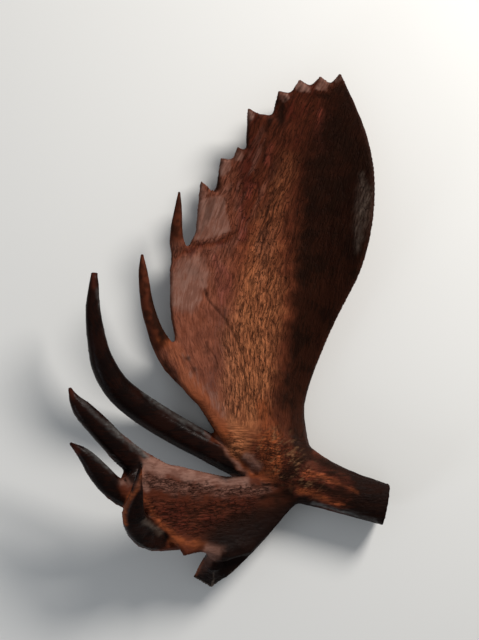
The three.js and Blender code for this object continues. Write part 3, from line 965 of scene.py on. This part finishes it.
def antler_finish(name):
    bone = Finish(name)
    growth = bone.vector("growth")
    grain = bone.vector("grain")
    clouds = bone.noise(growth, 0.028, 4)
    specks = bone.noise(growth, 0.35, 2)
    strands = bone.noise(bone.stretched(grain, (0.30, 0.045, 0.1)), 1.0, 3, 0.62)
    scratches = bone.noise(bone.stretched(grain, (0.62, 0.08, 0.2)), 1.0, 2)
    net = bone.noise(bone.stretched(grain, (0.17, 0.04, 0.08)), 1.0, 2, 0.5)
    net_line = bone.ramp(bone.math("ABSOLUTE", bone.math("SUBTRACT", net, 0.5), 0.0), 0.01, 0.045, 1, 0)
    net_line = bone.math("MULTIPLY", net_line, bone.mask("lined"))

    colour = bone.mix(bone.ramp(clouds, 0.35, 0.65), BROWN, RED_BROWN)
    thick = bone.ramp(bone.math("ADD", clouds, bone.math("MULTIPLY", strands, 0.8)), 0.75, 1.05)
    for stain, coat, least, most in STAIN_COATS:
        share = bone.math("MULTIPLY", bone.mask(stain), bone.ramp(thick, 0, 1, least, most))
        colour = bone.mix(share, colour, coat)
    # Painted highlight and shade: the colour is lighter on the ridges of the strands and darker between
    # them.
    ridge_light = bone.ramp(strands, 0.32, 0.68, -RIDGE_LIGHT, RIDGE_LIGHT)
    ridge_share = bone.ramp(bone.mask("lined"), 0, 1, 0.3, 1)
    brightness = bone.math("ADD", 1.0, bone.math("MULTIPLY", ridge_light, ridge_share))
    colour = bone.scaled(colour, brightness)
    scratch_dirt = bone.ramp(scratches, 0.54, 0.68, 0, SCRATCH_DIRT)
    line_dirt = bone.math("MULTIPLY", scratch_dirt, bone.ramp(bone.mask("lined"), 0, 0.6))
    colour = bone.mix(line_dirt, colour, GROOVE_DARK)
    colour = bone.mix(bone.math("MULTIPLY", net_line, NET_DIRT), colour, GROOVE_DARK)
    # The furrow mask darkens the colour.
    colour = bone.mix(bone.math("MULTIPLY", bone.mask("furrow"), FURROW_DARKENING), colour, GROOVE_DARK)
    bone.feed(bone.shader.inputs["Base Color"], colour)

    dull = bone.ramp(bone.mask("furrow"), 0, 1, 0.56, 0.8)
    polish = bone.math("MULTIPLY", bone.mask("polish"), POLISH)
    grit = bone.ramp(specks, 0.3, 0.7, -GRIT, GRIT)
    roughness = bone.math("ADD", bone.math("SUBTRACT", dull, polish), grit)
    bone.feed(bone.shader.inputs["Roughness"], roughness)
    bone.shader.inputs["Specular IOR Level"].default_value = GLOSS

    height = bone.math("ADD", bone.math("MULTIPLY", strands, 0.9), bone.math("MULTIPLY", scratches, -0.6),
                       bone.math("MULTIPLY", net_line, -0.5), bone.math("MULTIPLY", specks, 0.3))
    rough_share = bone.ramp(bone.mask("lined"), 0, 0.8, 0.22, 1)
    height = bone.math("MULTIPLY", height, rough_share)
    bump = bone.node("ShaderNodeBump", {"Height": height, "Distance": BUMP_DEPTH_M})
    bone.feed(bone.shader.inputs["Normal"], bump.outputs["Normal"])
    print(name, "has", len(bone.tree.nodes), "nodes")
    return bone.material


FINISHES = {slot: antler_finish(slot) for slot in ("brown_bone", "dark_bone")}

# %% [markdown]
# ## Parting the skin into pieces
# The skin is cut where the solids were sawn. Each piece keeps its share of the small faces, and every
# saw cut is closed with a flat fan of triangles, so each piece is a closed body. The shading normals
# are those of the whole skin, and so no seam shows where two pieces meet.

# %% Pieces
def flattened_cuts(places, owner):
    """The same places, with the points along each cut slid onto its plane."""
    places = places.copy()
    for tip, root in CUTS.items():
        on_tip = np.unique(quads[owner == NAMES.index(tip)])
        on_root = np.unique(quads[owner == NAMES.index(root)])
        shared = np.intersect1d(on_tip, on_root)
        centre, normal = planes[tip]
        off = (places[shared] - centre) @ normal
        places[shared] -= np.clip(off, -VOXEL_M / MM, VOXEL_M / MM)[:, None] * normal
        furthest = round(float(np.abs(off).max()), 2)
        print(tip, "shares", len(shared), "points with", root, "furthest off", furthest, "mm")
    return places


def cut_caps(index):
    """Triangles over the open cuts of one piece, and the centre points they fan out from."""
    own = quads[owner == index]
    sides = np.concatenate([own[:, [k, (k + 1) % 4]] for k in range(4)])
    codes = sides[:, 0] * len(skin) + sides[:, 1]
    back_codes = sides[:, 1] * len(skin) + sides[:, 0]
    rim = sides[~np.isin(codes, back_codes)]
    caps, hubs = [], []
    for tip, root in CUTS.items():
        if index not in (NAMES.index(tip), NAMES.index(root)):
            continue
        centre, _ = planes[tip]
        other = NAMES.index(root if index == NAMES.index(tip) else tip)
        beside = np.isin(rim, np.unique(quads[owner == other])).all(1)
        hub = len(skin) + len(hubs)
        hubs.append(skin[np.unique(rim[beside])].mean(0))
        caps += [(end, start, hub) for start, end in rim[beside]]
    return caps, hubs


def lay_masks(mesh, used, hub_count):
    """Gives one piece the stain masks and the two vectors that its finish reads."""
    for stain, mask in stains.items():
        layer = mesh.attributes.new(stain, "FLOAT", "POINT")
        layer.data.foreach_set("value", np.append(mask, np.zeros(hub_count))[used].astype(np.float32))
    for name, vectors in (("growth", skin), ("grain", grain)):
        layer = mesh.attributes.new(name, "FLOAT_VECTOR", "POINT")
        padded = np.concatenate([vectors, np.zeros((hub_count, 3))])[used]
        layer.data.foreach_set("vector", padded.astype(np.float32).ravel())


def lay_normals(mesh, used, hub_count, quad_count):
    """Gives one piece the shading normals of the whole skin, and its cut faces their own flat ones."""
    shading = np.concatenate([skin_normals @ TURN.T, np.zeros((hub_count, 3))])[used]
    loops = np.zeros(len(mesh.loops), np.int64)
    mesh.loops.foreach_get("vertex_index", loops)
    corner_normals = shading[loops]
    first_cap_loop = 4 * quad_count
    cap_faces = range(quad_count, len(mesh.polygons))
    cap_normals = np.array([mesh.polygons[k].normal for k in cap_faces]).reshape(-1, 3)
    corner_normals[first_cap_loop:] = np.repeat(cap_normals, 3, axis=0)
    mesh.normals_split_custom_set(corner_normals.tolist())


def piece_mesh(index):
    caps, hubs = cut_caps(index)
    own = quads[owner == index]
    places = np.concatenate([skin, np.array(hubs).reshape(-1, 3)])
    cap_corners = np.array(caps, np.int64).reshape(-1, 3)
    used = np.unique(np.concatenate([own.ravel(), cap_corners.ravel()]))
    number = np.zeros(len(places), np.int64)
    number[used] = np.arange(len(used))
    mesh = bpy.data.meshes.new(NAMES[index])
    faces = number[own].tolist() + number[cap_corners].tolist()
    mesh.from_pydata(to_rest(places[used]).tolist(), [], faces)
    mesh.polygons.foreach_set("use_smooth", np.ones(len(faces), bool))
    lay_masks(mesh, used, len(hubs))
    lay_normals(mesh, used, len(hubs), len(own))
    return mesh


NORMAL_FADE = 14
grain = straight * (1 - palm_share[:, None]) + fan * palm_share[:, None]
grain[:, [0, 1]] = np.where(palm_share[:, None] > 0.5, fan[:, [0, 1]], straight[:, [1, 0]])
skin = flattened_cuts(skin, owner)
skin_normals = normals_of(skin, quads)
soft_normals = np.stack([blurred(skin_normals[:, axis], NORMAL_FADE) for axis in range(3)], 1)
skin_normals += on_tine[:, None] * (soft_normals - skin_normals)
skin_normals /= np.linalg.norm(skin_normals, axis=1)[:, None]
SLOT_OF = {part["node"]: part["material_slot"] for part in frame["record"]["subparts"]}
total = 0
for index, name in enumerate(NAMES):
    piece = bpy.data.objects.new(name + "_bone", piece_mesh(index))
    bpy.context.scene.collection.objects.link(piece)
    piece.data.materials.append(FINISHES[SLOT_OF[name]])
    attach(piece, "root")
    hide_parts(name)
    triangles = sum(len(face.vertices) - 2 for face in piece.data.polygons)
    total += triangles
    print(piece.name, triangles, "triangles")
print("in all", total, "triangles")
